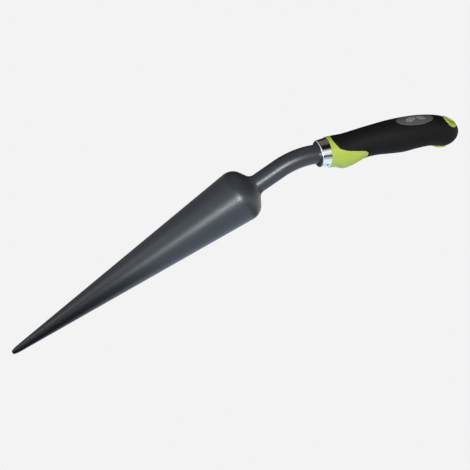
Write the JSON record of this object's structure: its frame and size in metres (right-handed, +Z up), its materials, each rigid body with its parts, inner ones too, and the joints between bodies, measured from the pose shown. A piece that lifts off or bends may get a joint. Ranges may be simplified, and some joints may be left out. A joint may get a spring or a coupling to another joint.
{
  "type": "garden dibber",
  "caption": "Cranked garden dibber: tapered steel cone with a blunt point, bent round neck tube, chromed ferrule and two-tone soft-grip handle with a hang hole.",
  "frame": {"origin": "centre of the small flat on the cone's point", "axes": "+Z up the cone's axis towards the neck; the crank lies in the XZ plane and the handle leans towards +X; Y is square to the crank"},
  "size_m": [0.1102, 0.0444, 0.4165],
  "materials": {
    "powder_coat": "satin powder coat",
    "chrome_plate": "polished",
    "lime_core": "moulded satin polypropylene",
    "soft_grip": "matte soft over-moulding",
    "badge_grey": "satin"
  },
  "bodies": {
    "root": {"cone_point": "powder_coat", "cone_shell": "powder_coat", "shoulder_cap": "powder_coat", "neck_weld": "powder_coat", "neck_tube": "powder_coat", "ferrule": "chrome_plate", "handle_core": "lime_core", "grip_sleeve": "soft_grip", "badge": "badge_grey"}
  },
  "joints": []
}
